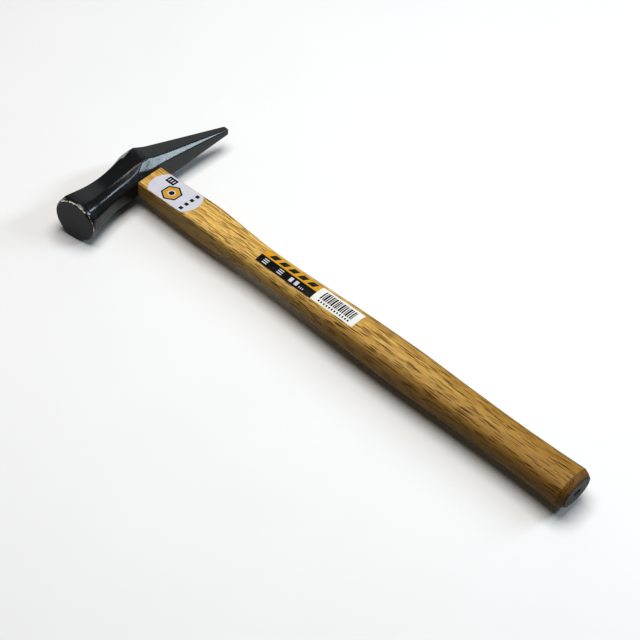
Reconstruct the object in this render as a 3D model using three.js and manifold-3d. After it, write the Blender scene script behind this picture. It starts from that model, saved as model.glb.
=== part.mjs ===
// A forged hammer with a round striking face and a long square pick, on a straight oak handle.
// X runs along the handle from the head to the butt, Y across it from the striking face to the
// pick, and Z up through the side of the handle that carries the two labels. Sizes are in
// millimetres and are measured from the middle of the eye, the slot that the handle passes
// through. The finished group is then moved so that its origin is the middle of its base.
import * as THREE from "three";
import { mergeVertices } from "three/addons/utils/BufferGeometryUtils.js";
import Module from "manifold-3d";

const wasm = await Module();
wasm.setup();

// Striking face: a flat disc with a chamfered rim, leaning towards the butt like the neck.
const FACE_RADIUS = 13.9;
const FACE_CHAMFER = 1.0;
const RIM_DEPTH = 3.9;
const FLARE_DEPTH = 7.4;
const FLARE_RADIUS = 10.5;
const FACE_LEAN = 0.162;
const FACE_DISTANCE = 55.4;

// Head: an eight-sided bar, given at stations along Y by its underside (the side towards the
// butt), its back and half its thickness in Z. The straight pick runs from its root to its tip,
// with a smaller chamfer along its underside than along its back.
const HEAD_STATIONS = [
  { y: -55, underside: 21.4, back: -5.3, half: 12.8 },
  { y: -50, underside: 20.9, back: -4.9, half: 12.55 },
  { y: -45, underside: 19.9, back: -4.4, half: 12.0 },
  { y: -38, underside: 18.0, back: -4.15, half: 10.9 },
  { y: -28, underside: 15.7, back: -4.7, half: 10.1 },
  { y: -17, underside: 14.5, back: -6.45, half: 10.35 },
  { y: -8, underside: 13.8, back: -8.8, half: 11.2 },
  { y: 0, underside: 13.1, back: -11.2, half: 11.85 },
  { y: 4, underside: 12.8, back: -11.4, half: 11.9 },
];
const NECK_CORNER = 2 - Math.SQRT2; // chamfer of a regular octagon, as a share of its half width
const BACK_CORNER = 0.88; // chamfer along the neck's back, as a share of that along its underside
const PICK_ROOT = { y: 10, underside: 12.5, back: -8.6, half: 10.9, corner: 3.8, backCorner: 5.9 };
const PICK_TIP = { y: 65.5, underside: 12.5, back: 8.3, half: 2.2, corner: 0.4, backCorner: 0.75 };
const NECK_STEPS = 26;

// Eye and the piece of the handle in it, whose end is ground down almost flush with the head.
const TENON_HALF_WIDTH = 9.9;
const TENON_HALF_THICKNESS = 4.95;
const TENON_BLANK = -13;
const TENON_PROUD = 0.1;
const FIT_GAP = 0.3;

// Handle: half width in Y, half thickness in Z, and how far the oval that rounds it stands off
// the flats, as a share of the half width. Near the head the oval clears the corners, which
// leaves a rectangular block, and from the shoulder on it makes an oval grip.
const HANDLE_STATIONS = [
  { x: 14, width: 9.9, thickness: 4.95, oval: 1.6 },
  { x: 40, width: 10.0, thickness: 5.6, oval: 1.6 },
  { x: 60, width: 10.3, thickness: 6.4, oval: 1.48 },
  { x: 76, width: 10.35, thickness: 6.85, oval: 1.2 },
  { x: 90, width: 10.15, thickness: 7.1, oval: 1.09 },
  { x: 108, width: 9.9, thickness: 7.2, oval: 1.03 },
  { x: 125, width: 10.05, thickness: 7.35, oval: 1.03 },
  { x: 155, width: 11.1, thickness: 8.1, oval: 1.03 },
  { x: 185, width: 12.2, thickness: 8.9, oval: 1.03 },
  { x: 217, width: 12.6, thickness: 9.2, oval: 1.03 },
  { x: 250, width: 12.0, thickness: 8.8, oval: 1.03 },
  { x: 283, width: 11.7, thickness: 8.6, oval: 1.03 },
  { x: 305, width: 12.05, thickness: 8.8, oval: 1.03 },
  { x: 324.5, width: 12.75, thickness: 9.25, oval: 1.03 },
];
const OVAL_FLATNESS = 0.73;
const BUTT_END = 329;
const BUTT_CHAMFER = 2;
const SEAL_THICKNESS = 0.5;
const HANDLE_STEPS = 52;
const OVAL_SIDES = 48;

// Wedges: a wooden one along the eye in a saw kerf, and a steel one driven across it.
const WOOD_WEDGE = { top: -13, tip: 9, topHalf: 1.4, tipHalf: 0.4, halfLength: 9.7 };
const WOOD_WEDGE_PROUD = 0.05;
const STEEL_WEDGE = { top: -11.0, tip: -2.6, topHalf: 0.95, tipHalf: 0.25, halfLength: 3.8 };
const KERF_BOTTOM = 11;

// Labels: thin films on the upper side of the handle.
const FILM_THICKNESS = 0.2;
const MAKER_LABEL = { start: 17.1, end: 53.3, halfWidth: 9.3, bulge: 4.4 };
const SIZE_LABEL = { start: 106.1, end: 179.1, halfWidth: 5.75 };

const Y_AXIS = new THREE.Vector3(0, 1, 0);

// A closed geometry as a manifold solid, and back.
function solid(geometry) {
  const plain = geometry.clone();
  plain.deleteAttribute("normal");
  plain.deleteAttribute("uv");
  const merged = mergeVertices(plain, 1e-4);
  return new wasm.Manifold(
    new wasm.Mesh({
      numProp: 3,
      vertProperties: merged.attributes.position.array,
      triVerts: new Uint32Array(merged.index.array),
    }),
  );
}

function geometryOf(made) {
  const mesh = made.getMesh();
  const geometry = new THREE.BufferGeometry();
  geometry.setAttribute("position", new THREE.BufferAttribute(mesh.vertProperties, 3));
  geometry.setIndex(new THREE.BufferAttribute(mesh.triVerts, 1));
  const flat = geometry.toNonIndexed();
  flat.computeVertexNormals();
  return flat;
}

// A smooth curve through the stations' values, as a function of their position.
function along(stations, position, fields) {
  const positions = stations.map((station) => station[position]);
  const values = stations.flatMap((station) => fields.map((field) => station[field]));
  const curve = new THREE.CubicInterpolant(positions, values, fields.length, new Array(fields.length));
  return (at) => {
    const result = curve.evaluate(at);
    return Object.fromEntries(fields.map((field, i) => [field, result[i]]));
  };
}

// A flat outline in the plane of two directions, drawn out evenly to both sides of that plane.
function slab(points, across, up, depth) {
  const shape = new THREE.Shape(points.map(([a, b]) => new THREE.Vector2(a, b)));
  const geometry = new THREE.ExtrudeGeometry(shape, { depth, bevelEnabled: false, curveSegments: 24 });
  const normal = new THREE.Vector3().crossVectors(across, up);
  geometry.translate(0, 0, -depth / 2);
  geometry.applyMatrix4(new THREE.Matrix4().makeBasis(across, up, normal));
  return solid(geometry);
}

// A bar given by its low and high edge at each station, seen along one direction.
function bar(stations, position, low, high, across, up) {
  const highEdge = stations.map((station) => [station[position], high(station)]);
  const lowEdge = stations.map((station) => [station[position], low(station)]);
  return slab([...highEdge, ...lowEdge.reverse()], across, up, 90);
}

// Head stations: the neck and eye as a smooth curve, then the straight pick.
function headStations() {
  const neck = along(HEAD_STATIONS, "y", ["underside", "back", "half"]);
  const first = HEAD_STATIONS[0].y;
  const last = HEAD_STATIONS[HEAD_STATIONS.length - 1].y;
  const stations = [];
  for (let i = 0; i <= NECK_STEPS; i++) {
    const y = THREE.MathUtils.lerp(first, last, i / NECK_STEPS);
    const section = neck(y);
    const halfHeight = (section.underside - section.back) / 2;
    const corner = (NECK_CORNER * (halfHeight + section.half)) / 2;
    stations.push({ y, ...section, corner, backCorner: corner * BACK_CORNER });
  }
  return [...stations, PICK_ROOT, PICK_TIP];
}

// The eight-sided bar is what four extruded outlines share: two square to it, two diagonal.
function headBar() {
  const stations = headStations();
  const x = new THREE.Vector3(1, 0, 0);
  const z = new THREE.Vector3(0, 0, 1);
  let made = bar(stations, "y", (s) => s.back, (s) => s.underside, Y_AXIS, x);
  made = made.intersect(bar(stations, "y", (s) => -s.half, (s) => s.half, Y_AXIS, z));
  for (const side of [1, -1]) {
    const diagonal = new THREE.Vector3(1, 0, side).normalize();
    const low = (s) => (s.back - s.half + s.backCorner) / Math.SQRT2;
    const high = (s) => (s.underside + s.half - s.corner) / Math.SQRT2;
    made = made.intersect(bar(stations, "y", low, high, Y_AXIS, diagonal));
  }
  return made;
}

// Turns a geometry whose Y axis points out of the striking face, and sets it on that face.
function setOnFace(geometry) {
  const outward = new THREE.Vector3(Math.sin(FACE_LEAN), -Math.cos(FACE_LEAN), 0);
  geometry.applyQuaternion(new THREE.Quaternion().setFromUnitVectors(Y_AXIS, outward));
  geometry.translate(...outward.clone().multiplyScalar(FACE_DISTANCE).toArray());
  return solid(geometry);
}

// The round striking face, with its chamfer, rim and the cone that runs into the neck.
function strikingFace() {
  const profile = [
    [0, -FLARE_DEPTH],
    [FLARE_RADIUS, -FLARE_DEPTH],
    [FACE_RADIUS, -RIM_DEPTH],
    [FACE_RADIUS, -FACE_CHAMFER],
    [FACE_RADIUS - FACE_CHAMFER, 0],
    [0, 0],
  ];
  const geometry = new THREE.LatheGeometry(
    profile.map(([radius, height]) => new THREE.Vector2(radius, height)),
    64,
  );
  return setOnFace(geometry);
}

// All the space that lies behind the middle of the rim.
function behindRim() {
  const length = 200;
  const geometry = new THREE.BoxGeometry(length, length, length);
  geometry.translate(0, -length / 2 - RIM_DEPTH / 2, 0);
  return setOnFace(geometry);
}

function box(lowCorner, highCorner) {
  const size = highCorner.map((value, i) => value - lowCorner[i]);
  const geometry = new THREE.BoxGeometry(...size);
  geometry.translate(...lowCorner.map((value, i) => value + size[i] / 2));
  return solid(geometry);
}

function eye() {
  const y = TENON_HALF_WIDTH + FIT_GAP;
  const z = TENON_HALF_THICKNESS + FIT_GAP;
  return box([-30, -y, -z], [30, y, z]);
}

// All the space on the butt's side of the head's back, starting proud of that back.
function belowCrown(proud) {
  const x = new THREE.Vector3(1, 0, 0);
  return bar(headStations(), "y", (s) => s.back - proud, () => BUTT_END, Y_AXIS, x);
}

// The handle's outer shape, made larger all round by grow.
function handleBody(grow) {
  const fields = ["width", "thickness", "oval"];
  const shape = along(HANDLE_STATIONS, "x", fields);
  const first = HANDLE_STATIONS[0];
  const last = HANDLE_STATIONS[HANDLE_STATIONS.length - 1];
  const stations = [{ ...first, x: TENON_BLANK }];
  for (let i = 0; i <= HANDLE_STEPS; i++) {
    const x = THREE.MathUtils.lerp(first.x, last.x, i / HANDLE_STEPS);
    stations.push({ x, ...shape(x) });
  }
  const end = BUTT_END - SEAL_THICKNESS - FIT_GAP;
  const chamfered = { width: last.width - BUTT_CHAMFER, thickness: last.thickness - BUTT_CHAMFER };
  stations.push({ x: end, ...chamfered, oval: last.oval });
  const x = new THREE.Vector3(1, 0, 0);
  const z = new THREE.Vector3(0, 0, 1);
  const plan = bar(stations, "x", (s) => -s.width - grow, (s) => s.width + grow, x, Y_AXIS);
  const side = bar(stations, "x", (s) => -s.thickness - grow, (s) => s.thickness + grow, x, z);
  const profile = stations.map((s) => new THREE.Vector2(s.width * s.oval + grow, s.x));
  const round = new THREE.LatheGeometry(
    [new THREE.Vector2(0, TENON_BLANK), ...profile, new THREE.Vector2(0, end)],
    OVAL_SIDES,
  );
  round.rotateZ(-Math.PI / 2);
  round.scale(1, 1, OVAL_FLATNESS);
  // The lathe turns about Y, and turning Y onto X leaves its faces pointing out.
  return plan.intersect(side).intersect(solid(round)).intersect(belowCrown(TENON_PROUD));
}

// A wedge tapering along X: its faces close in on each other in the direction of its thickness.
function wedge({ top, tip, topHalf, tipHalf, halfLength }, thicknessAxis, grow, topReach, tipReach) {
  const outline = [
    [top - topReach, -topHalf - grow],
    [tip + tipReach, -tipHalf - grow],
    [tip + tipReach, tipHalf + grow],
    [top - topReach, topHalf + grow],
  ];
  const x = new THREE.Vector3(1, 0, 0);
  return slab(outline, x, thicknessAxis, 2 * (halfLength + grow));
}

const zAxis = new THREE.Vector3(0, 0, 1);
const kerf = wedge({ ...WOOD_WEDGE, tip: KERF_BOTTOM, halfLength: 15 }, zAxis, FIT_GAP, 5, 0);
const steelSlot = wedge(STEEL_WEDGE, Y_AXIS, FIT_GAP, 5, FIT_GAP);

function makerLabelOutline() {
  const { start, end, halfWidth, bulge } = MAKER_LABEL;
  const radius = (halfWidth * halfWidth + bulge * bulge) / (2 * bulge);
  const half = Math.asin(halfWidth / radius);
  const shape = new THREE.Shape();
  shape.absarc(end - radius, 0, radius, -half, half);
  shape.absarc(start + radius, 0, radius, Math.PI - half, Math.PI + half);
  return shape.getPoints(16).map((point) => [point.x, point.y]);
}

function sizeLabelOutline() {
  const { start, end, halfWidth } = SIZE_LABEL;
  return [
    [start, -halfWidth],
    [end, -halfWidth],
    [end, halfWidth],
    [start, halfWidth],
  ];
}

// A film that follows the handle's upper side inside an outline in plan.
function film(outline) {
  const x = new THREE.Vector3(1, 0, 0);
  const shell = handleBody(FIT_GAP + FILM_THICKNESS).subtract(handleBody(FIT_GAP));
  const upper = box([0, -20, 0], [BUTT_END, 20, 30]);
  return shell.intersect(slab(outline, x, Y_AXIS, 60)).intersect(upper);
}

// The sealing coat on the end grain of the butt.
function buttSeal() {
  const last = HANDLE_STATIONS[HANDLE_STATIONS.length - 1];
  const geometry = new THREE.CylinderGeometry(1, 1, SEAL_THICKNESS, OVAL_SIDES);
  geometry.rotateZ(-Math.PI / 2);
  geometry.scale(1, last.width - BUTT_CHAMFER, last.thickness - BUTT_CHAMFER);
  geometry.translate(BUTT_END - SEAL_THICKNESS / 2, 0, 0);
  return solid(geometry);
}

const hammer = new THREE.Group();

function piece(name, made, color, roughness, metalness = 0) {
  const material = new THREE.MeshStandardMaterial({ color, roughness, metalness });
  const mesh = new THREE.Mesh(geometryOf(made), material);
  mesh.name = name;
  hammer.add(mesh);
}

const woodWedge = wedge(WOOD_WEDGE, zAxis, 0, 0, 0).intersect(belowCrown(WOOD_WEDGE_PROUD));
const head = headBar().intersect(behindRim()).add(strikingFace()).subtract(eye());
piece("hammer_head", head, 0x222325, 0.38, 0.6);
piece("oak_handle", handleBody(0).subtract(kerf).subtract(steelSlot), 0xc79a52, 0.5);
piece("wooden_wedge", woodWedge.subtract(steelSlot), 0x9c7440, 0.65);
piece("steel_wedge", wedge(STEEL_WEDGE, Y_AXIS, 0, 0, 0), 0x77797c, 0.4, 0.9);
piece("maker_label", film(makerLabelOutline()), 0xdfdfe6, 0.3);
piece("size_label", film(sizeLabelOutline()), 0xf2b21c, 0.3);
piece("butt_sealing_coat", buttSeal(), 0x34373a, 0.6);

// Stand the group on its base, with the origin at the middle of that base.
const bounds = new THREE.Box3().setFromObject(hammer);
const centre = bounds.getCenter(new THREE.Vector3());
hammer.position.set(-centre.x, -centre.y, -bounds.min.z);

const part = new THREE.Group();
part.add(hammer);

export default part;
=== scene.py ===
"""Looks for a pick-ended hammer: a forged head, an oak handle, two wedges, two film labels and the
sealing coat on the butt.

Shapes are worked out in millimetres in the eye's frame: X runs along the handle from the middle of
the eye to the butt, Y from the striking face to the pick, and Z up out of the labelled side.
place() turns them into metres in the frame of the CAD.
"""

import math

import bmesh
import bpy
import numpy as np
from mathutils import Matrix, Vector


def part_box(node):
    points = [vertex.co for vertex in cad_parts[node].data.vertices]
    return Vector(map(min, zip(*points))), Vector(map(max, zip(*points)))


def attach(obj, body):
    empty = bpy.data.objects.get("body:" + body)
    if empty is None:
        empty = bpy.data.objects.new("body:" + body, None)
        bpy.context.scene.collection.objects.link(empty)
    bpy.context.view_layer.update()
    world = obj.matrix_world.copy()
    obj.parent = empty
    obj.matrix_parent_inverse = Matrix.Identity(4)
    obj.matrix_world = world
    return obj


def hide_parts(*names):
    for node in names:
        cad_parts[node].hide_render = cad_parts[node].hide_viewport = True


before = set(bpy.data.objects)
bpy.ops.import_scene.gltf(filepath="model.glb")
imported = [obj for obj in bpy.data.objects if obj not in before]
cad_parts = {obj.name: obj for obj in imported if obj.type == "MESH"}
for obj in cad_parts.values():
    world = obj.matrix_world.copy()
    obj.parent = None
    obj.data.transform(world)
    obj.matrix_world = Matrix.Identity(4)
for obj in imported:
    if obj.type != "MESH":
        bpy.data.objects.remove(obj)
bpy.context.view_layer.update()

MM = 0.001
BUTT_END = 329.0  # the outer face of the coat on the butt
SHARP_DEGREES = 32  # edges that turn by more than this are shaded crisp
coat_low, coat_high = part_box("butt_sealing_coat")
EYE = np.array([
    coat_high.x - BUTT_END * MM,
    (coat_low.y + coat_high.y) / 2,
    (coat_low.z + coat_high.z) / 2,
])


def place(points):
    return np.asarray(points, float) * MM + EYE


# ---------------------------------------------------------------- camera

CAMERA_PLACE = tuple(place((529.02, -460.53, 624.11)))
CAMERA_TARGET = tuple(place((158.87, -8.19, 0.0)))
CAMERA_ROLL = 5.40
CAMERA_LENS = 88.03

camera = bpy.data.objects.new("camera", bpy.data.cameras.new("camera"))
bpy.context.scene.collection.objects.link(camera)
bpy.context.scene.camera = camera
camera.data.lens = CAMERA_LENS
camera.data.sensor_width = 36
camera.data.clip_end = 20
back = (Vector(CAMERA_PLACE) - Vector(CAMERA_TARGET)).normalized()
level = Vector((0, 0, 1)).cross(back).normalized()
right = Matrix.Rotation(math.radians(CAMERA_ROLL), 3, back) @ level
up = back.cross(right)
camera.matrix_world = Matrix.Translation(CAMERA_PLACE) @ Matrix((right, up, back)).transposed().to_4x4()


# ---------------------------------------------------------------- curves and meshes

def smooth_curve(positions, values):
    """A function through the points that overshoots nowhere (monotone cubic pieces)."""
    x, v = np.array(positions, float), np.array(values, float)
    h = np.diff(x)
    slope = np.diff(v) / h
    tangent = np.zeros(len(x))
    for i in range(1, len(x) - 1):
        if slope[i - 1] * slope[i] > 0:
            w1, w2 = 2 * h[i] + h[i - 1], h[i] + 2 * h[i - 1]
            tangent[i] = (w1 + w2) / (w1 / slope[i - 1] + w2 / slope[i])
    tangent[0], tangent[-1] = slope[0], slope[-1]

    def evaluate(at):
        at = np.clip(np.asarray(at, float), x[0], x[-1])
        i = np.clip(np.searchsorted(x, at, side="right") - 1, 0, len(h) - 1)
        t = (at - x[i]) / h[i]
        return (
            (1 + 2 * t) * (1 - t) ** 2 * v[i]
            + t * (1 - t) ** 2 * h[i] * tangent[i]
            + t * t * (3 - 2 * t) * v[i + 1]
            + t * t * (t - 1) * h[i] * tangent[i + 1]
        )

    return evaluate


def new_object(name, mesh_builder, materials):
    """An object whose mesh is what mesh_builder leaves in a bmesh, shaded smooth."""
    built = bmesh.new()
    mesh_builder(built)
    bmesh.ops.recalc_face_normals(built, faces=built.faces)
    mesh = bpy.data.meshes.new(name)
    built.to_mesh(mesh)
    built.free()
    for material in materials:
        mesh.materials.append(material)
    mesh.shade_smooth()
    made = bpy.data.objects.new(name, mesh)
    bpy.context.scene.collection.objects.link(made)
    return made


def add_loft(built, rings):
    """Adds a closed loft through rings of equally many points, with a fan of faces at each end."""
    rings = [place(ring) for ring in rings]
    rows = [[built.verts.new(point) for point in ring] for ring in rings]
    count = len(rows[0])
    for lower, upper in zip(rows, rows[1:]):
        for i in range(count):
            j = (i + 1) % count
            built.faces.new((lower[i], lower[j], upper[j], upper[i]))
    for row, ring in ((rows[0], rings[0]), (rows[-1], rings[-1])):
        middle = built.verts.new(ring.mean(axis=0))
        for i in range(count):
            built.faces.new((row[i], row[(i + 1) % count], middle))


def cut(target, cutter):
    """Subtracts cutter from target for good, and keeps the cut's edges crisp."""
    boolean = target.modifiers.new("cut", "BOOLEAN")
    boolean.operation, boolean.object, boolean.solver = "DIFFERENCE", cutter, "EXACT"
    bpy.context.view_layer.update()
    depsgraph = bpy.context.evaluated_depsgraph_get()
    mesh = bpy.data.meshes.new_from_object(target.evaluated_get(depsgraph))
    target.modifiers.clear()
    target.data = mesh
    mesh.shade_smooth()
    mesh.set_sharp_from_angle(angle=math.radians(SHARP_DEGREES))
    bpy.data.objects.remove(cutter)


# ---------------------------------------------------------------- head: shape

FACE_LEAN = 0.162
FACE_DISTANCE = 55.4
FACE_NORMAL = np.array([math.sin(FACE_LEAN), -math.cos(FACE_LEAN), 0])
FACE_ACROSS = np.array([math.cos(FACE_LEAN), math.sin(FACE_LEAN), 0])
UPWARD = np.array([0, 0, 1.0])
# The face, its worn chamfer and the rim, as radius and depth behind the face.
FACE_PROFILE = [
    (3, 0), (6, 0), (9, 0), (11.8, 0), (12.6, 0), (12.82, 0.03), (12.98, 0.12), (13.12, 0.25),
    (13.6, 0.73), (13.73, 0.9), (13.83, 1.08), (13.88, 1.3), (13.9, 1.8), (13.9, 2.7),
    (13.86, 3.3), (13.74, 3.7), (13.5, 3.95),
]
# Places along the head: the neck by the rim, where its corners leave the octagon, where the ridge
# starts to turn into the pick's edge, the crown's peak, and the pick's root and end.
NECK_START = -51.0
OCTAGON_END = -17.0
RIDGE_TURN = -6.6
CROWN = 4.0
PICK_ROOT = 10.0
PICK_END = 65.5
OCTAGON = 2 - math.sqrt(2)  # chamfer of a regular octagon, as a share of its half width

# The neck's underside, back and half thickness from the rim to the crown, then the straight pick.
NECK_Y = [-55, -50, -45, -38, -28, -17, -8, 0, 4]
NECK_UNDERSIDE = smooth_curve(NECK_Y, [21.4, 20.9, 19.9, 18.0, 15.7, 14.5, 13.8, 13.1, 12.8])
NECK_BACK = smooth_curve(NECK_Y, [-5.3, -4.9, -4.4, -4.15, -4.7, -6.45, -8.8, -11.2, -11.4])
NECK_HALF = smooth_curve(NECK_Y, [12.8, 12.55, 12.0, 10.9, 10.1, 10.35, 11.2, 11.85, 11.9])


def neck_then_pick(neck, root, tip):
    """Follows the neck's curve to the crown, and straight lines from there by the root to the tip."""
    at_crown = float(neck(CROWN))

    def evaluate(y):
        y = np.asarray(y, float)
        pick = np.interp(y, [CROWN, PICK_ROOT, PICK_END], [at_crown, root, tip])
        return np.where(y < CROWN, neck(y), pick)

    return evaluate


underside = neck_then_pick(NECK_UNDERSIDE, 12.5, 12.5)
crown_back = neck_then_pick(NECK_BACK, -8.6, 8.3)
half_thickness = neck_then_pick(NECK_HALF, 10.9, 2.2)


def octagon_leg(y):
    return OCTAGON * ((underside(y) - crown_back(y)) / 2 + half_thickness(y)) / 2


# Each corner on the underside carries a low ridge, which grows out of the neck's chamfer and ends
# as the lower edge of the pick's. These are its depths below the underside and the upper side.
RIDGE_SHARE = 0.42
RIDGE_HEIGHT = smooth_curve([-51, -46, -38, -26, -17, -8], [0.6, 0.7, 0.72, 0.75, 0.78, 0.8])
UPPER_LEG = smooth_curve([-17, -8, 0.5, 5, 10], [6.04, 6.25, 5.65, 5.0, 3.8])
RIDGE_DEPTH_Y = [RIDGE_TURN, -2.5, 1, 5, 10]
RIDGE_DEPTH_X = smooth_curve(RIDGE_DEPTH_Y, [3.2, 1.85, 0.9, 0.2, 0.0])
RIDGE_DEPTH_Z = smooth_curve(RIDGE_DEPTH_Y, [2.75, 4.04, 4.75, 4.8, 3.8])
LOWER_LEG = smooth_curve([-17, -8, 0, 10], [6.04, 6.6, 7.0, 6.4])
# The sides of the pick's chamfers at its root and at its end.
PICK_UPPER_LEG = (3.8, 0.4)
PICK_LOWER_LEG = (6.4, 1.1)
CROWN_BACK_LEG, PICK_BACK_LEG = 6.87, (6.2, 0.75)


def pick_line(y, ends):
    return np.interp(y, [PICK_ROOT, PICK_END], ends)


def chamfer_leg(y, by_eye, on_pick):
    """One side of a chamfer: the octagon's, a curve by the eye, then a straight line on the pick."""
    if y < OCTAGON_END:
        return octagon_leg(y)
    return by_eye(y) if y < PICK_ROOT else pick_line(y, on_pick)


def upper_edge(y):
    return underside(y) - chamfer_leg(y, UPPER_LEG, PICK_UPPER_LEG), half_thickness(y)


def lower_edge(y):
    return underside(y), half_thickness(y) - chamfer_leg(y, LOWER_LEG, PICK_LOWER_LEG)


def ridge(y):
    if y < RIDGE_TURN:
        leg, proud = octagon_leg(y), RIDGE_HEIGHT(y) / math.sqrt(2)
        deep_x, deep_z = leg * (1 - RIDGE_SHARE) - proud, leg * RIDGE_SHARE - proud
    elif y < PICK_ROOT:
        deep_x, deep_z = RIDGE_DEPTH_X(y), RIDGE_DEPTH_Z(y)
    else:
        deep_x, deep_z = 0, pick_line(y, PICK_UPPER_LEG)
    return underside(y) - deep_x, half_thickness(y) - deep_z


# The back's chamfer is steeper than the octagon's, except on the crown's peak, where it stands out.
BACK_LEAN = smooth_curve([-14, -7.5, -5.5, -1, 1.5, 10, 65.5], [0.72, 0.76, 1.0, 1.0, 0.86, 0.95, 1.0])


def back_leg(y):
    past_crown = np.interp(y, [CROWN, PICK_ROOT, PICK_END], [CROWN_BACK_LEG, *PICK_BACK_LEG])
    return np.where(y < CROWN, octagon_leg(y), past_crown)


def back_upper_edge(y):
    return crown_back(y) + back_leg(y) * BACK_LEAN(y), half_thickness(y)


def back_lower_edge(y):
    return crown_back(y), half_thickness(y) - back_leg(y)


# Corner curves going round from the underside over the top to the back, how far each one's crease
# between neck and pick lies from the crown's, and how far its rounding reaches on the neck and pick.
CORNERS = [
    (lower_edge, -9.0, 0.9, 0.5),
    (ridge, -10.6, 1.1, 0.55),
    (upper_edge, -3.5, 0.8, 0.45),
    (back_upper_edge, 0.0, 0.8, 0.5),
    (back_lower_edge, 0.0, 0.8, 0.5),
]
CREASE_SPREAD = 15.0
LEAN_START, LEAN_LENGTH = -28.0, 22.0  # the rings start to lean with the face here, over this length
CROSSING_STEPS = 12
ROUNDING_CHANGE = 4.0  # from the neck's roundings to the pick's
MOST_REACH = 0.42  # the share of a side that one rounding can take


def head_corner(corner, crease, s):
    """Where a corner curve crosses ring s, which leans with the face at the neck's end."""
    lean = FACE_LEAN * np.clip((LEAN_START - s) / LEAN_LENGTH, 0, 1)
    middle = (underside(s) + crown_back(s)) / 2
    y = s
    shift = crease * math.exp(-(((s - CROWN) / CREASE_SPREAD) ** 2))
    for _ in range(CROSSING_STEPS):
        x, z = corner(y)
        y = min(s + shift + math.tan(lean) * (x - middle), PICK_END)
    return np.array([float(x), y, float(z)])


def rounded_outline(corners, reaches, sides=4, between=4):
    """A closed outline with each corner rounded over its reach and points spread between corners."""
    outline = []
    count = len(corners)
    for i in range(count):
        here, before, after = corners[i], corners[i - 1], corners[(i + 1) % count]
        toward_before, toward_after = before - here, after - here
        lengths = np.linalg.norm(toward_before), np.linalg.norm(toward_after)
        reach = min(reaches[i], MOST_REACH * lengths[0], MOST_REACH * lengths[1])
        start = here + toward_before / lengths[0] * reach
        end = here + toward_after / lengths[1] * reach
        for t in np.linspace(0, 1, sides + 1):
            outline.append((1 - t) ** 2 * start + 2 * t * (1 - t) * here + t * t * end)
        next_reach = min(reaches[(i + 1) % count], MOST_REACH * lengths[1])
        next_start = after - toward_after / lengths[1] * next_reach
        for t in np.linspace(0, 1, between + 2)[1:-1]:
            outline.append(end + t * (next_start - end))
    return np.array(outline)


def head_ring(s):
    pick_share = np.clip((s - CROWN) / ROUNDING_CHANGE, 0, 1)
    corners, reaches = [], []
    for corner, crease, neck_reach, pick_reach in CORNERS:
        corners.append(head_corner(corner, crease, s))
        reaches.append(neck_reach + pick_share * (pick_reach - neck_reach))
    below = [point * (1, 1, -1) for point in reversed(corners)]
    return rounded_outline(corners + below, reaches + reaches[::-1])


# Where the rings lie: close together at the rim, over the crown and at the end of the pick.
HEAD_STATIONS = np.concatenate([
    [NECK_START, NECK_START + 0.25, NECK_START + 0.7, NECK_START + 1.4],
    np.arange(NECK_START + 2.4, 2.5, 1.1),
    [2.9, 3.4, 3.75, 4.0, 4.25, 4.6, 5.2, 6.0, 7.0, 8.2, 9.4, 10.0, 10.8],
    np.arange(12.5, 64.0, 2.0),
    [64.4, 64.8],
])
# The pick's end, as a share of its last ring and how far short of the end it stays.
PICK_CAP = ((0.985, 0.3), (0.95, 0.14), (0.88, 0.04), (0.75, 0.0), (0.4, 0.0))


def head_rings():
    first = head_ring(NECK_START)
    centre = FACE_DISTANCE * FACE_NORMAL
    offsets = first - first.mean(axis=0)
    angles = np.arctan2(offsets[:, 2], offsets @ FACE_ACROSS)
    across = np.outer(np.cos(angles), FACE_ACROSS) + np.outer(np.sin(angles), UPWARD)
    rings = [centre - depth * FACE_NORMAL + radius * across for radius, depth in FACE_PROFILE]
    rings += [head_ring(s) for s in HEAD_STATIONS]
    last = head_ring(PICK_END)
    middle = last.mean(axis=0)
    rings += [middle + (last - middle) * share - np.array([0, inset, 0]) for share, inset in PICK_CAP]
    return rings


# ---------------------------------------------------------------- handle: shape

SHOULDER_START = 14  # where the tenon ends and the block starts
CHAMFER_START = 324.5
HANDLE_X = [14, 40, 60, 76, 90, 108, 125, 155, 185, 217, 250, 283, 305, 324.5]
half_width = smooth_curve(
    HANDLE_X, [9.9, 10.0, 10.3, 10.35, 10.15, 9.9, 10.05, 11.1, 12.2, 12.6, 12.0, 11.7, 12.05, 12.75]
)
handle_half = smooth_curve(
    HANDLE_X, [4.95, 5.6, 6.4, 6.85, 7.1, 7.2, 7.35, 8.1, 8.9, 9.2, 8.8, 8.6, 8.8, 9.25]
)
# The section is a superellipse: a sharp rectangle by the head that turns into an oval at the waist.
handle_power = smooth_curve([14, 58, 66, 74, 84, 96, 108, 330], [17, 16, 9.5, 5.6, 3.6, 2.75, 2.4, 2.34])
TENON_HALF_WIDTH, TENON_HALF_THICKNESS = 9.9, 4.95
TENON_PROUD = -0.15
WOOD_END = 328.5
AROUND = 96
# The butt's chamfer, as places and how far the section has shrunk there.
BUTT_CHAMFER = (
    (324.5, 0.02), (324.8, 0.13), (325.3, 0.32), (326, 0.58),
    (326.8, 0.92), (327.5, 1.3), (328.05, 1.7), (328.3, 1.95),
)
END_HALF_WIDTH, END_HALF_THICKNESS = 10.85, 7.35
HANDLE_STATIONS = np.concatenate([
    np.arange(16, 56, 4.0), np.arange(56, 112, 1.6), np.arange(112, 322, 3.5), [322.5, 324.0],
])


def superellipse(a, b, power):
    angle = np.arange(AROUND) * 2 * math.pi / AROUND
    cos, sin = np.cos(angle), np.sin(angle)
    return (
        a * np.sign(cos) * np.abs(cos) ** (2 / power),
        b * np.sign(sin) * np.abs(sin) ** (2 / power),
    )


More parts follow.
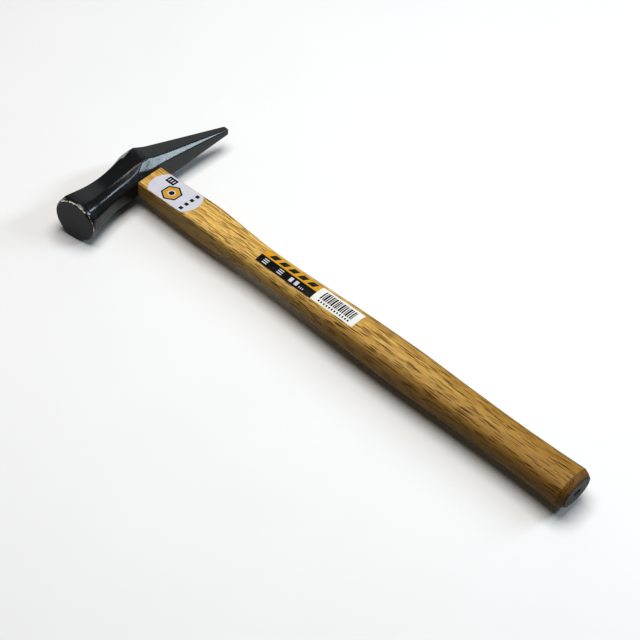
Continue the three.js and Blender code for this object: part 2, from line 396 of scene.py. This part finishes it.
TENON_Y, TENON_Z = superellipse(TENON_HALF_WIDTH, TENON_HALF_THICKNESS, handle_power(SHOULDER_START))
BUTT_POWER = handle_power(CHAMFER_START - 0.5)


def flat_ring(x, y, z):
    """A ring across the handle, at one place or at a place for each point."""
    return np.column_stack([np.broadcast_to(np.asarray(x, float), y.shape), y, z])


def handle_ring(x, shrink=0.0):
    return flat_ring(x, *superellipse(half_width(x) - shrink, handle_half(x) - shrink, handle_power(x)))


def tenon_end(y, z):
    """The end of the tenon, which follows the flat of the head's back and the chamfers beside it."""
    past_flat = np.maximum(0, np.abs(z) - (half_thickness(y) - back_leg(y)))
    return crown_back(y) + past_flat * BACK_LEAN(y) - TENON_PROUD


def handle_rings():
    y, z = TENON_Y, TENON_Z
    end = tenon_end(y, z)
    rings = []
    for share in (0.2, 0.5, 0.8, 0.94, 0.98):
        rings.append(flat_ring(tenon_end(y * share, z * share), y * share, z * share))
    for drop, share in ((0.06, 0.993), (0.2, 1.0)):
        rings.append(flat_ring(end + drop, y * share, z * share))
    for share in np.linspace(0.12, 1, 10):
        rings.append(flat_ring(end + share * (SHOULDER_START - end), y, z))
    rings += [handle_ring(x) for x in HANDLE_STATIONS]
    for x, shrink in BUTT_CHAMFER:
        rings.append(handle_ring(CHAMFER_START, shrink) + np.array([x - CHAMFER_START, 0, 0]))
    y, z = superellipse(END_HALF_WIDTH, END_HALF_THICKNESS, BUTT_POWER)
    rings += [flat_ring(WOOD_END, y * share, z * share) for share in (0.97, 0.6, 0.3)]
    return rings


def handle_top(x, y):
    """The height of the handle's labelled side."""
    share = np.clip(np.abs(y / half_width(x)), 0, 0.999)
    power = handle_power(x)
    return handle_half(x) * (1 - share**power) ** (1 / power)


# ---------------------------------------------------------------- material helpers

def srgb(*channels):
    """A colour as painted, 0 to 255, turned into the linear colour that a shader reads."""
    linear = [c / 255 / 12.92 if c <= 10 else ((c / 255 + 0.055) / 1.055) ** 2.4 for c in channels]
    return (*linear, 1.0)


class Nodes:
    """A short way to write a material's nodes."""

    def __init__(self, name, **shader_values):
        self.material = bpy.data.materials.new(name)
        self.material.use_nodes = True
        self.tree = self.material.node_tree
        self.shader = next(n for n in self.tree.nodes if n.type == "BSDF_PRINCIPLED")
        for socket, value in shader_values.items():
            self.shader.inputs[socket.replace("_", " ")].default_value = value
        self._place = None

    def put(self, socket, value):
        if isinstance(value, bpy.types.NodeSocket):
            self.tree.links.new(value, socket)
        else:
            socket.default_value = value

    def node(self, kind, inputs=(), output=0, **settings):
        made = self.tree.nodes.new(kind)
        for key, value in settings.items():
            setattr(made, key, value)
        for key, value in dict(inputs).items():
            self.put(made.inputs[key], value)
        return made.outputs[output]

    def place(self):
        """The point in millimetres in the eye's frame."""
        if self._place is None:
            coordinates = self.node("ShaderNodeTexCoord", output="Object")
            offset = self.node(
                "ShaderNodeVectorMath", {0: coordinates, 1: tuple(EYE)}, operation="SUBTRACT"
            )
            self._place = self.node(
                "ShaderNodeVectorMath", {0: offset, "Scale": 1 / MM}, operation="SCALE"
            )
        return self._place

    def scaled(self, *factors):
        return self.node("ShaderNodeVectorMath", {0: self.place(), 1: factors}, operation="MULTIPLY")

    def axis(self, name):
        """The X, Y or Z of place(), in millimetres."""
        return self.node("ShaderNodeSeparateXYZ", {0: self.place()}, output=name)

    def noise(self, vector, scale=1.0, detail=3.0, roughness=0.5):
        return self.node(
            "ShaderNodeTexNoise",
            {"Vector": vector, "Scale": scale, "Detail": detail, "Roughness": roughness},
        )

    def math(self, operation, a, b=0.0, c=0.0):
        return self.node("ShaderNodeMath", {0: a, 1: b, 2: c}, operation=operation)

    def ramp(self, value, low, high, to_low=0.0, to_high=1.0):
        return self.node(
            "ShaderNodeMapRange",
            {"Value": value, "From Min": low, "From Max": high, "To Min": to_low, "To Max": to_high},
            interpolation_type="SMOOTHSTEP",
        )

    def mix(self, share, a, b):
        made = self.tree.nodes.new("ShaderNodeMix")
        made.data_type = "RGBA"
        for index, value in ((0, share), (6, a), (7, b)):
            self.put(made.inputs[index], value)
        return made.outputs[2]

    def bump(self, height, distance, strength=1.0, normal=None):
        inputs = {"Height": height, "Distance": distance * MM, "Strength": strength}
        if normal is not None:
            inputs["Normal"] = normal
        return self.node("ShaderNodeBump", inputs)

    def set(self, **sockets):
        for socket, value in sockets.items():
            self.put(self.shader.inputs[socket.replace("_", " ")], value)
        return self.material

    def attribute(self, name):
        return self.node("ShaderNodeAttribute", output="Fac", attribute_name=name)

    def blend(self, share, a, b):
        """Between two numbers, as mix() is between two colours."""
        return self.node("ShaderNodeMix", {0: share, 2: a, 3: b})


# ---------------------------------------------------------------- materials

LACQUER_DARK, LACQUER_LIGHT = srgb(17, 18, 20), srgb(25, 26, 28)
# A darker lacquer painted round the eye as shade.
LACQUER_SHADE_BY_EYE = srgb(12, 12, 14)
LACQUER_ON_PICK = srgb(27, 29, 31)
LACQUER_ON_FACE = srgb(30, 31, 33)
# Worn-through steel on the rim, also used as a painted highlight on its corner.
BARE_RIM_AND_HIGHLIGHT = srgb(226, 222, 200)
# The crease between neck and pick: Y falls with height, except on the upper flat.
CREASE_SLOPE, CREASE_OFFSET, CREASE_FLAT = -2.29, 26.3, 8.4

OAK_DARK, OAK_LIGHT = srgb(162, 130, 68), srgb(199, 168, 101)
OAK_STREAK, OAK_FIBRE = srgb(146, 102, 38), srgb(222, 192, 118)
# The flank colour is painted shade for the handle's sides.
OAK_GRIP, OAK_FLANK_SHADE = srgb(130, 97, 36), srgb(78, 58, 22)
OAK_STAIN = srgb(100, 68, 26)
OAK_TICK, OAK_PORE = srgb(112, 76, 30), srgb(62, 34, 8)

WEDGE_WOOD_DARK, WEDGE_WOOD_LIGHT = srgb(120, 82, 42), srgb(176, 132, 74)
WEDGE_STEEL_DARK, WEDGE_STEEL_LIGHT = srgb(92, 94, 98), srgb(150, 152, 156)
# The slot colour is painted shade inside the mark in the coat.
COAT_DARK, COAT_LIGHT, COAT_SLOT_SHADE = srgb(22, 24, 24), srgb(44, 48, 48), srgb(10, 10, 11)
FLOOR_DARK, FLOOR_LIGHT = (0.61, 0.61, 0.61, 1), (0.63, 0.63, 0.63, 1)
FILM_ROUGHNESS = 0.22


def lacquered_steel():
    n = Nodes("lacquered_steel")
    y, z = n.axis("Y"), n.axis("Z")
    fine = n.noise(n.place(), scale=2.2, detail=4)
    scale_pits = n.noise(n.place(), scale=0.9, detail=6, roughness=0.7)
    # Rough forging scale round the eye, with painted shade darkening the lacquer there, ground flats on the
    # pick, and the ground striking face.
    height = n.math("MAXIMUM", n.math("ABSOLUTE", z), CREASE_FLAT)
    past_crease = n.math("ADD", y, n.math("MULTIPLY_ADD", height, CREASE_SLOPE, CREASE_OFFSET))
    by_eye = n.math("MULTIPLY", n.ramp(y, -34, -12), n.ramp(past_crease, 0.6, -0.8))
    on_pick = n.ramp(past_crease, -0.8, 0.6)
    striations = n.noise(n.scaled(0.1, 2.6, 0.1), detail=3, roughness=0.65)
    chips = n.noise(n.place(), scale=0.75, detail=5, roughness=0.62)
    bare_and_highlight = n.ramp(n.math("ADD", n.attribute("wear_and_highlight"), n.math("MULTIPLY", chips, 0.9)), 0.98, 1.12)
    face = n.attribute("face")
    colour = n.mix(n.ramp(fine, 0.3, 0.7), LACQUER_DARK, LACQUER_LIGHT)
    # Painted shade: the lacquer is darkened round the eye, where the handle goes in.
    colour = n.mix(n.math("MULTIPLY", by_eye, 0.7), colour, LACQUER_SHADE_BY_EYE)
    colour = n.mix(on_pick, colour, LACQUER_ON_PICK)
    colour = n.mix(face, colour, LACQUER_ON_FACE)
    # Worn-through lacquer on the face's chamfer, with a painted highlight on the corner beside the chips.
    colour = n.mix(bare_and_highlight, colour, BARE_RIM_AND_HIGHLIGHT)
    rough = n.ramp(fine, 0.3, 0.7, 0.17, 0.24)
    rough = n.blend(n.math("MULTIPLY", by_eye, 0.5), rough, 0.24)
    rough = n.blend(face, rough, 0.5)
    normal = n.bump(fine, 0.04, 0.2)
    normal = n.bump(scale_pits, 0.35, n.math("MULTIPLY", by_eye, 0.32), normal)
    normal = n.bump(striations, 0.05, n.math("MULTIPLY", on_pick, 0.4), normal)
    return n.set(
        Base_Color=colour, Roughness=rough, Normal=normal, Metallic=n.math("MULTIPLY", bare_and_highlight, 0.3)
    )


def oak():
    n = Nodes("oak", IOR=1.26)
    along, across = n.axis("X"), n.axis("Y")
    # The grain wavers a little across the handle.
    waver = n.noise(n.scaled(0.012, 0.05, 0.05), detail=2)
    sideways = n.math("MULTIPLY", n.math("SUBTRACT", waver, 0.5), 1.2)
    lean = n.node("ShaderNodeCombineXYZ", {0: 0.0, 1: sideways, 2: 0.0})
    place = n.node("ShaderNodeVectorMath", {0: n.place(), 1: lean}, operation="ADD")

    def stretched(x, y, z, shift):
        by = n.node("ShaderNodeVectorMath", {0: place, 1: (x, y, z)}, operation="MULTIPLY")
        return n.node("ShaderNodeVectorMath", {0: by, 1: shift}, operation="ADD")

    def pores(cell_x, cell_yz, radius, shift):
        """Short dashes along the grain, one to a cell, with soft ends."""
        vector = stretched(1 / cell_x, 1 / cell_yz, 1 / cell_yz, shift)
        cells = n.node(
            "ShaderNodeTexVoronoi", {"Vector": vector, "Scale": 1.0, "Randomness": 1.0}, output="Distance"
        )
        return n.ramp(cells, radius, radius * 0.7)

    bands = n.noise(stretched(0.006, 0.22, 0.1, (3.1, 0.4, 1.7)), detail=2)
    streaks = n.noise(stretched(0.022, 1.1, 0.9, (0.3, 7.7, 2.1)), detail=3, roughness=0.6)
    fibres = n.noise(stretched(0.09, 5.5, 5.0, (5.3, 1.1, 9.2)), detail=2)
    # The pores crowd together in bands, and more so towards the grip.
    crowded = n.math("ADD", bands, n.ramp(along, 40, 260, 0.0, 0.24))
    crowded = n.ramp(crowded, 0.42, 0.62, 0.22, 1.0)
    dashes = n.math("MAXIMUM", pores(26, 1.0, 0.27, (0, 0, 0)), pores(20, 0.9, 0.27, (4.4, 2.2, 8.8)))
    dashes = n.math("MAXIMUM", dashes, pores(15, 0.85, 0.27, (7.1, 3.6, 0.8)))
    dashes = n.math("MULTIPLY", dashes, crowded)
    ticks = n.math("MULTIPLY", pores(7, 0.7, 0.32, (1.7, 5.9, 3.3)), 0.35)
    colour = n.mix(n.ramp(bands, 0.3, 0.7), OAK_DARK, OAK_LIGHT)
    colour = n.mix(n.ramp(streaks, 0.4, 0.66, 0.0, 0.85), colour, OAK_STREAK)
    colour = n.mix(n.ramp(fibres, 0.38, 0.66, 0.0, 0.5), colour, OAK_FIBRE)
    colour = n.mix(n.ramp(along, 110, 330, 0.0, 0.78), colour, OAK_GRIP)
    colour = n.mix(n.math("MULTIPLY", n.attribute("stain"), 0.8), colour, OAK_STAIN)
    colour = n.mix(ticks, colour, OAK_TICK)
    # Painted shade: the wood darkens towards both flanks of the handle.
    colour = n.mix(n.ramp(n.math("ABSOLUTE", across), 6.5, 11.5, 0.0, 0.58), colour, OAK_FLANK_SHADE)
    colour = n.mix(n.math("MULTIPLY", dashes, 0.95), colour, OAK_PORE)
    normal = n.bump(n.math("SUBTRACT", 1.0, dashes), 0.12, 0.4)
    normal = n.bump(fibres, 0.04, 0.3, normal)
    return n.set(Base_Color=colour, Roughness=n.ramp(fibres, 0.3, 0.7, 0.46, 0.58), Normal=normal)


def end_grain():
    n = Nodes("wedge_wood", Roughness=0.7)
    fibres = n.noise(n.scaled(0.15, 3.5, 3.5), detail=4)
    colour = n.mix(n.ramp(fibres, 0.3, 0.7), WEDGE_WOOD_DARK, WEDGE_WOOD_LIGHT)
    return n.set(Base_Color=colour, Normal=n.bump(fibres, 0.1, 0.4))


def wedge_steel():
    n = Nodes("wedge_steel", Metallic=0.9)
    dents = n.noise(n.place(), scale=0.8, detail=5, roughness=0.7)
    colour = n.mix(n.ramp(dents, 0.35, 0.65), WEDGE_STEEL_DARK, WEDGE_STEEL_LIGHT)
    rough = n.ramp(dents, 0.3, 0.7, 0.3, 0.55)
    return n.set(Base_Color=colour, Roughness=rough, Normal=n.bump(dents, 0.3, 0.5))


def film(name, light, dark):
    """A printed film: an even colour with the faint mottle and gloss of ink on plastic."""
    n = Nodes(name, IOR=1.38)
    mottle = n.noise(n.place(), scale=0.2, detail=2)
    colour = n.mix(n.ramp(mottle, 0.3, 0.7), srgb(*dark), srgb(*light))
    rough = n.ramp(mottle, 0.3, 0.7, FILM_ROUGHNESS - 0.05, FILM_ROUGHNESS + 0.05)
    ripple = n.noise(n.scaled(0.1, 0.3, 0.3), detail=2)
    return n.set(Base_Color=colour, Roughness=rough, Normal=n.bump(ripple, 0.05, 0.12))


def sealing_paint():
    n = Nodes("sealing_paint")
    brush = n.noise(n.scaled(0.2, 0.35, 1.6), scale=1.4, detail=4)
    grit = n.noise(n.place(), scale=2.5, detail=3)
    colour = n.mix(n.ramp(brush, 0.4, 0.75), COAT_DARK, COAT_LIGHT)
    # Painted shade: the coat is darkened inside the mark cut into it.
    slot_shade = n.ramp(n.axis("X"), BUTT_END - 0.04, BUTT_END - 0.16)
    colour = n.mix(slot_shade, colour, COAT_SLOT_SHADE)
    rough = n.ramp(grit, 0.3, 0.7, 0.4, 0.65)
    return n.set(Base_Color=colour, Roughness=rough, Normal=n.bump(grit, 0.1, 0.4))


def plain_floor():
    n = Nodes("floor", Roughness=0.9)
    grain = n.noise(n.place(), scale=0.02, detail=2)
    return n.set(Base_Color=n.mix(grain, FLOOR_DARK, FLOOR_LIGHT))


# ---------------------------------------------------------------- head

def point_attribute(made, name, value_at):
    """Stores value_at(points in millimetres) on the mesh for a material to read."""
    points = np.zeros(len(made.data.vertices) * 3)
    made.data.vertices.foreach_get("co", points)
    points = (points.reshape(-1, 3) - EYE) / MM
    stored = made.data.attributes.new(name, "FLOAT", "POINT")
    stored.data.foreach_set("value", value_at(points).astype(np.float32))


FLAT_RADIUS, FLAT_DEPTH = 13.0, 0.1
# Bands round the face where the lacquer is worn through, the corner band also a painted highlight: the
# radius of their middle, half their width, and the greatest depth behind the face.
WORN_CHAMFER, CHAMFER_DEPTH = (13.4, 0.5), 1.2
WORN_CORNER_AND_HIGHLIGHT, CORNER_DEPTH = (13.78, 0.14), 1.4
EYE_CLEARANCE, EYE_REACH = 0.06, 30.0


def on_the_face(points):
    """Each point's depth behind the face, radius, and angle round it from the butt's side, upwards."""
    offset = points - FACE_DISTANCE * FACE_NORMAL
    across, up = offset @ FACE_ACROSS, offset[:, 2]
    return -offset @ FACE_NORMAL, np.hypot(across, up), np.degrees(np.arctan2(up, across))


def band(radius, middle, half):
    """1 in a band of radii and 0 away from it, with soft edges."""
    return np.exp(-(((radius - middle) / half) ** 4))


def arc(angle, start, rise, end, fall):
    """1 between two angles, rising from 0 after the first and falling back to 0 before the second."""
    return np.clip((angle - start) / rise, 0, 1) * np.clip((end - angle) / fall, 0, 1)


def wear_and_highlight_at(points):
    """How readily the lacquer is gone: chips along the upper arc, and a worn corner beside it that also
    carries a painted highlight.
    """
    depth, radius, angle = on_the_face(points)
    # The corner band is a painted highlight as well as wear.
    chipped, rubbed_highlight = arc(angle, 40, 12, 142, 12), arc(angle, -75, 20, 52, 12)
    on_chamfer = band(radius, *WORN_CHAMFER) * (depth < CHAMFER_DEPTH)
    on_corner = band(radius, *WORN_CORNER_AND_HIGHLIGHT) * (depth < CORNER_DEPTH)
    return np.maximum(on_chamfer * (0.4 + 0.27 * chipped), on_corner * 0.6 * rubbed_highlight)


def face_at(points):
    depth, radius, _ = on_the_face(points)
    return ((depth < FLAT_DEPTH) & (radius < FLAT_RADIUS)).astype(float)


def eye_rings():
    y, z = superellipse(
        TENON_HALF_WIDTH + EYE_CLEARANCE, TENON_HALF_THICKNESS + EYE_CLEARANCE, handle_power(SHOULDER_START)
    )
    return [flat_ring(x, y, z) for x in (-EYE_REACH, EYE_REACH)]


head = new_object("forged_head", lambda built: add_loft(built, head_rings()), [lacquered_steel()])
cut(head, new_object("eye_cutter", lambda built: add_loft(built, eye_rings()), []))
point_attribute(head, "wear_and_highlight", wear_and_highlight_at)
point_attribute(head, "face", face_at)
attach(head, "root")
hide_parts("hammer_head")


# ---------------------------------------------------------------- handle and wedges

WOOD_WEDGE = {"top": -13, "tip": 9, "top_half": 1.4, "tip_half": 0.4, "half_length": 9.7}
STEEL_WEDGE = {"top": -11.0, "tip": -2.6, "top_half": 0.95, "tip_half": 0.25, "half_length": 3.8}
KERF_HALF_LENGTH = 12
SLOT_CLEARANCE = 0.04
KERF_REACH, SLOT_REACH = 2.0, 3.0  # how far a cutter goes on past the wedge's wide end
WEDGE_BEVEL = 0.18
CROWN_CLEARANCE = 0.05
STAIN_START, STAIN_FADE = 324.55, 0.15


def wedge_corners(top, tip, top_half, tip_half, half_length, across, grow=0.0, reach=0.0):
    """The eight corners of a wedge: across is the axis of its thickness, 1 for Y or 2 for Z."""
    corners = []
    for x, half in ((top - reach, top_half + grow), (tip + grow, tip_half + grow)):
        for side, end in ((-1, -1), (1, -1), (1, 1), (-1, 1)):
            point = [x, 0, 0]
            point[across] = side * half
            point[3 - across] = end * (half_length + grow)
            corners.append(point)
    return corners


def add_wedge(built, corners, bevel=0.0):
    verts = [built.verts.new(point) for point in place(corners)]
    for face in ((0, 1, 2, 3), (7, 6, 5, 4), (0, 4, 5, 1), (1, 5, 6, 2), (2, 6, 7, 3), (3, 7, 4, 0)):
        built.faces.new([verts[i] for i in face])
    if bevel:
        bmesh.ops.bevel(
            built, geom=list(built.edges), offset=bevel * MM, segments=2, profile=0.5, affect="EDGES"
        )


def wedge_piece(name, shape, across, material, bevel=0.0):
    corners = wedge_corners(**shape, across=across)
    return new_object(name, lambda built: add_wedge(built, corners, bevel), [material])


def wedge_cutter(name, shape, across, reach):
    corners = wedge_corners(**shape, across=across, grow=SLOT_CLEARANCE, reach=reach)
    return new_object(name, lambda built: add_wedge(built, corners), [])


def stain_at(points):
    return np.clip((points[:, 0] - STAIN_START) / STAIN_FADE, 0, 1)


handle = new_object("oak_handle_wood", lambda built: add_loft(built, handle_rings()), [oak()])
kerf = {**WOOD_WEDGE, "half_length": KERF_HALF_LENGTH}
cut(handle, wedge_cutter("kerf_cutter", kerf, 2, KERF_REACH))
cut(handle, wedge_cutter("slot_cutter", STEEL_WEDGE, 1, SLOT_REACH))
point_attribute(handle, "stain", stain_at)
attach(handle, "root")
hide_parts("oak_handle")


def crown_blank(built):
    """The space outside the crown, which trims the wooden wedge's end."""
    rows = []
    for y in np.linspace(-14, 14, 57):
        near, far = crown_back(y) - CROWN_CLEARANCE, -EYE_REACH
        rows.append(place([(near, y, -8), (near, y, 8), (far, y, 8), (far, y, -8)]))
    rows = [[built.verts.new(point) for point in row] for row in rows]
    for lower, upper in zip(rows, rows[1:]):
        for i in range(4):
            j = (i + 1) % 4
            built.faces.new((lower[i], lower[j], upper[j], upper[i]))
    built.faces.new(rows[0])
    built.faces.new(rows[-1])


wood_wedge = wedge_piece("wooden_wedge_wood", WOOD_WEDGE, 2, end_grain())
cut(wood_wedge, new_object("crown_cutter", crown_blank, []))
cut(wood_wedge, wedge_cutter("wedge_slot_cutter", STEEL_WEDGE, 1, SLOT_REACH))
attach(wood_wedge, "root")
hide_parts("wooden_wedge")

steel_wedge = wedge_piece("steel_wedge_metal", STEEL_WEDGE, 1, wedge_steel(), WEDGE_BEVEL)
steel_wedge.data.set_sharp_from_angle(angle=math.radians(SHARP_DEGREES))
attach(steel_wedge, "root")
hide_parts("steel_wedge")


# ---------------------------------------------------------------- labels

# Heights above the wood: the film, the print on it, and the light marks on a dark print.
FILM_TOP, FILM_BOTTOM = 0.10, -0.06
PRINT_TOP, PRINT_BOTTOM = 0.125, 0.06
OVERPRINT_TOP, OVERPRINT_BOTTOM = 0.14, 0.1
WHITE, BLACK, YELLOW, PAPER = range(4)  # places in PRINT


def add_patch(built, across, along, point_at, top, bottom, material):
    """Adds a thin closed film on the handle: point_at(u, v), each from 0 to 1, gives its plan."""
    levels = []
    for rise in (bottom, top):
        rows = []
        for u in np.linspace(0, 1, across + 1):
            row = []
            for v in np.linspace(0, 1, along + 1):
                x, y = point_at(u, v)
                row.append(built.verts.new(place((x, y, float(handle_top(x, y)) + rise))))
            rows.append(row)
        levels.append(rows)
    low, high = levels
    faces = []
    for i in range(across):
        for j in range(along):
            for face in (
                (high[i][j], high[i][j + 1], high[i + 1][j + 1], high[i + 1][j]),
                (low[i][j], low[i + 1][j], low[i + 1][j + 1], low[i][j + 1]),
            ):
                faces.append(built.faces.new(face))
    edge = [(i, 0) for i in range(across)] + [(across, j) for j in range(along)]
    edge += [(i, along) for i in range(across, 0, -1)] + [(0, j) for j in range(along, 0, -1)]
    for (i, j), (k, m) in zip(edge, edge[1:] + edge[:1]):
        faces.append(built.faces.new((low[i][j], low[k][m], high[k][m], high[i][j])))
    for face in faces:
        face.material_index = material


def quad(corners):
    """Plan of a four-sided print: its corners in order round it."""
    a, b, c, d = (np.array(point, float) for point in corners)
    return lambda u, v: (1 - u) * ((1 - v) * a + v * b) + u * ((1 - v) * d + v * c)


def bar(x0, x1, y0, y1, slant=0.0):
    """Plan of a bar between two places along the handle, leaning by slant across its height."""
    return quad([(x0, y0), (x1, y0), (x1 + slant, y1), (x0 + slant, y1)])


def square(x, y, half_x, half_y):
    """Plan of a rectangle about its middle."""
    return bar(x - half_x, x + half_x, y - half_y, y + half_y)


def disc(x, y, radius):
    """Plan of a disc, as a square grid pressed round."""
    def point_at(u, v):
        a, b = 2 * u - 1, 2 * v - 1
        return x + radius * a * math.sqrt(1 - b * b / 2), y + radius * b * math.sqrt(1 - a * a / 2)

    return point_at


def print_on(built, plan, material, across=2, along=2):
    add_patch(built, across, along, plan, PRINT_TOP, PRINT_BOTTOM, material)


MAKER = {"start": 17.1, "end": 53.3, "half_width": 9.3, "bulge": 4.4}


def maker_plan(u, v):
    y = (2 * u - 1) * MAKER["half_width"]
    radius = (MAKER["half_width"] ** 2 + MAKER["bulge"] ** 2) / (2 * MAKER["bulge"])
    sagitta = radius - math.sqrt(radius * radius - y * y)
    return MAKER["start"] + sagitta + v * (MAKER["end"] - MAKER["start"] - 2 * sagitta), y


def ring_side(x, y, radius, share, side):
    """Plan of one side of a hexagonal ring, from share of its radius outwards."""
    corners = []
    for turn, reach in ((0, share), (1, share), (1, 1.0), (0, 1.0)):
        angle = math.radians(60 * (side + turn) + 30)
        corners.append((x + radius * reach * math.cos(angle), y + radius * reach * math.sin(angle)))
    return quad(corners)


def build_maker_label(built):
    """A plain badge, a small dark tag with three light bars, and a row of squares."""
    badge_x, badge_y = 33.8, -1.7
    add_patch(built, 28, 36, maker_plan, FILM_TOP, FILM_BOTTOM, WHITE)
    print_on(built, bar(22.8, 29.6, 3.3, 8.1), BLACK, 4, 4)
    for i in range(3):
        x = 23.9 + 1.9 * i
        add_patch(built, 1, 1, bar(x, x + 0.8, 4.5, 6.9), OVERPRINT_TOP, OVERPRINT_BOTTOM, WHITE)
    for radius, share, colour, across in ((6.6, 0.84, BLACK, 1), (5.35, 0.5, YELLOW, 2)):
        for side in range(6):
            print_on(built, ring_side(badge_x, badge_y, radius, share, side), colour, across, 4)
    print_on(built, disc(badge_x, badge_y, 1.7), BLACK, 6, 6)
    for i in range(4):
        print_on(built, square(46.8, 4.4 * i - 6.6, 1.2, 1.1), BLACK)


# The bars' widths and gaps repeat out of step, so they look varied but can't be read as a code.
BAR_WIDTHS, BAR_GAPS = (0.8, 0.45, 1.1, 0.6), (0.75, 0.45, 0.55)


def build_size_label(built):
    """A yellow band with slanted bars, a black one with light stripes, and white paper with bars."""
    start, middle, end, low, high = 106.1, 148.0, 179.1, -5.6, 6.0
    add_patch(built, 12, 20, bar(middle, end, low, high), FILM_TOP, FILM_BOTTOM, PAPER)
    add_patch(built, 8, 26, bar(start, middle, low, 0.0), FILM_TOP, FILM_BOTTOM, BLACK)
    add_patch(built, 8, 26, bar(start, middle, 0.0, high), FILM_TOP, FILM_BOTTOM, YELLOW)
    for i in range(5):
        x = 110.5 + 7.2 * i
        print_on(built, bar(x, x + 4.4, 1.3, 4.9, slant=2.0), BLACK, 4, 4)
    for x in (109.8, 121.2):
        for i in range(3):
            y = 1.3 * i - 4.5
            print_on(built, bar(x, x + 3.6, y, y + 0.7), WHITE, 1, 2)
    for x in (130.2, 134.2):
        print_on(built, bar(x, x + 2.4, -4.5, -1.3), WHITE, 2, 2)
    for i in range(3):
        x = 138.0 + 1.3 * i
        print_on(built, bar(x, x + 0.6, -4.5, -3.3), WHITE, 1, 1)
    x, i = 152.2, 0
    while x < 175.5:
        width = BAR_WIDTHS[i % 4]
        print_on(built, bar(x, x + width, -2.3, 4.4), BLACK, 6, 1)
        x += width + BAR_GAPS[i % 3]
        i += 1
    for i in range(12):
        x = 152.6 + 1.95 * i
        print_on(built, bar(x, x + 0.9, -4.4, -3.2), BLACK, 1, 1)


PRINT = [
    film("label_white", (182, 182, 189), (178, 178, 185)),
    film("label_black", (17, 17, 19), (12, 12, 13)),
    film("label_yellow", (186, 142, 34), (180, 137, 31)),
    film("label_paper", (204, 203, 199), (200, 199, 195)),
]
for name, builder, node, slot in (
    ("maker_label_film", build_maker_label, "maker_label", "white_film"),
    ("size_label_film", build_size_label, "size_label", "yellow_film"),
):
    label = new_object(name, builder, PRINT)
    label.data.set_sharp_from_angle(angle=math.radians(SHARP_DEGREES))
    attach(label, "root")
    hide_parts(node)


# ---------------------------------------------------------------- butt

COAT_HALF_WIDTH, COAT_HALF_THICKNESS = 10.75, 7.25
# The coat's section, as places and shares of its width there.
COAT_PROFILE = (
    (328.42, 0.5), (328.42, 0.95), (328.44, 0.995), (328.6, 1.0), (328.8, 0.995),
    (328.93, 0.98), (329.0, 0.955), (329.0, 0.8), (329.0, 0.5), (329.0, 0.25),
)
COAT_SLOT_SHAPE = {"top": 331, "tip": 328.5, "top_half": 1.5, "tip_half": 1.2, "half_length": 2.9}


def coat_rings():
    rings = []
    for x, share in COAT_PROFILE:
        outline = superellipse(COAT_HALF_WIDTH * share, COAT_HALF_THICKNESS * share, BUTT_POWER)
        rings.append(flat_ring(x, *outline))
    return rings


coat = new_object("butt_coat", lambda built: add_loft(built, coat_rings()), [sealing_paint()])
mark = wedge_corners(**COAT_SLOT_SHAPE, across=2)
cut(coat, new_object("mark_cutter", lambda built: add_wedge(built, mark), []))
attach(coat, "root")
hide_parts("butt_sealing_coat")


# ---------------------------------------------------------------- floor and light

FLOOR_HALF = 3  # metres


def build_floor(built):
    for x, y in ((-1, -1), (1, -1), (1, 1), (-1, 1)):
        built.verts.new((FLOOR_HALF * x, FLOOR_HALF * y, 0))
    built.faces.new(built.verts)


floor = new_object("floor", build_floor, [plain_floor()])


def softbox(name, place_m, target, along, size, power, colour):
    """A rectangular light at place_m that faces target, its first side turned along a direction."""
    light = bpy.data.objects.new(name, bpy.data.lights.new(name, "AREA"))
    light.data.shape = "RECTANGLE"
    light.data.size, light.data.size_y = size
    light.data.energy, light.data.color = power, colour
    away = (Vector(place_m) - Vector(target)).normalized()
    second = away.cross(Vector(along)).normalized()
    light.matrix_world = (
        Matrix.Translation(place_m) @ Matrix((second.cross(away), second, away)).transposed().to_4x4()
    )
    bpy.context.scene.collection.objects.link(light)


PICK_MIDDLE = tuple(place((10.6, 26, 8)))
# A strip whose mirror image fills the pick's long chamfer.
softbox(
    "key", (0.532, 0.640, 0.612), target=PICK_MIDDLE, along=(-0.24, 0.87, -0.43),
    size=(0.60, 0.14), power=5.2, colour=(0.76, 0.90, 1.0),
)
softbox(
    "top", (-0.1, 0.08, 1.25), target=(0, 0, 0), along=(1, 0, 0),
    size=(0.8, 1.0), power=22.5, colour=(1.0, 0.985, 0.96),
)
# A box behind the hammer for the flats of the neck and pick.
softbox(
    "back", (-0.80, 0.92, 0.62), target=(-0.15, 0, 0.02), along=(0.81, 0.59, 0),
    size=(0.7, 0.5), power=0.85, colour=(0.95, 0.98, 1.0),
)

world = bpy.data.worlds.new("studio")
bpy.context.scene.world = world
world.use_nodes = True
background = world.node_tree.nodes["Background"]
background.inputs["Color"].default_value = (0.96, 0.98, 1.0, 1)
background.inputs["Strength"].default_value = 0.13

bpy.context.scene.view_settings.view_transform = "Standard"
bpy.context.scene.view_settings.look = "None"
bpy.context.scene.view_settings.gamma = 0.8
